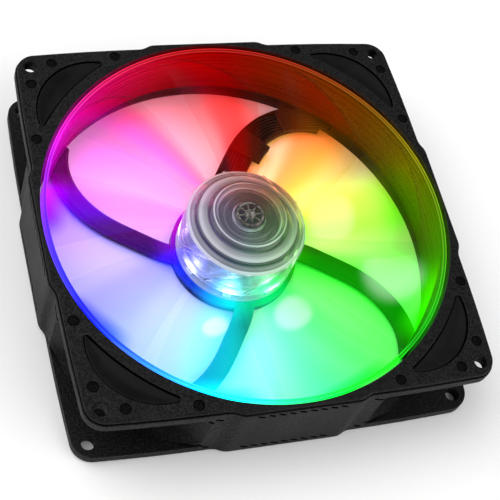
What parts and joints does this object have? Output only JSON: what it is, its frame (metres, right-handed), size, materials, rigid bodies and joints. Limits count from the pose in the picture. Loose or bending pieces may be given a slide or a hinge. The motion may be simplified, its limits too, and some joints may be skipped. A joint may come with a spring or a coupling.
{
  "type": "case fan",
  "caption": "Square axial computer case fan: black lobed housing with soft corner pads, a hub motor with a ring of lights, and a clear ringed impeller that spins.",
  "frame": {"origin": "on the rotor axis, in the plane of the rear face", "axes": "+Z along the rotor axis from the rear (exhaust) face to the front (intake) face; X and Y parallel to the sides of the housing; the cable strut leads to the +X+Y corner"},
  "size_m": [0.14, 0.14, 0.029],
  "materials": {
    "housing": "fine spark-eroded matt black",
    "pad": "smooth soft black",
    "impeller": "clear to milky moulded plastic lit from the hub",
    "steel": "ground",
    "yoke": "zinc plated",
    "magnet": "bonded ferrite",
    "brass": "turned",
    "bronze": "sintered",
    "seal": "smooth",
    "core": "stacked laminations",
    "insulator": "satin",
    "copper": "enamelled wire",
    "board_green": "solder mask",
    "board_white": "white solder mask",
    "chip": "moulded epoxy",
    "capacitor": "ceramic",
    "led": "clear resin",
    "lead": "black insulation",
    "socket": "glossy black",
    "gold": "plated",
    "label": "blank foil"
  },
  "bodies": {
    "housing": {"frame": "housing", "bearing_tube": "brass", "sleeve_bearing": "bronze", "oil_seal": "seal", "thrust_plate": "seal", "retaining_ring": "seal", "stator_core": "core", "lower_insulator": "insulator", "upper_insulator": "insulator", "coil_1": "copper", "coil_2": "copper", "coil_3": "copper", "coil_4": "copper", "motor_board": "board_green", "hall_sensor": "chip", "driver_chip": "chip", "capacitors": "capacitor", "led_board": "board_white", "leds": "led", "motor_leads": "lead", "led_leads": "lead", "lead_socket": "socket", "socket_pins": "gold", "rear_label": "label", "front_pad_1": "pad", "front_pad_2": "pad", "front_pad_3": "pad", "front_pad_4": "pad", "rear_pad_1": "pad", "rear_pad_2": "pad", "rear_pad_3": "pad", "rear_pad_4": "pad"},
    "rotor": {"shaft": "steel", "shaft_bush": "brass", "rotor_yoke": "yoke", "magnet_ring": "magnet", "impeller": "impeller"}
  },
  "joints": [
    {"name": "rotor_spin", "type": "hinge", "parent": "housing", "child": "rotor", "pos_m": [0, 0, 0.015], "axis": [0, 0, 1], "continuous": true}
  ]
}
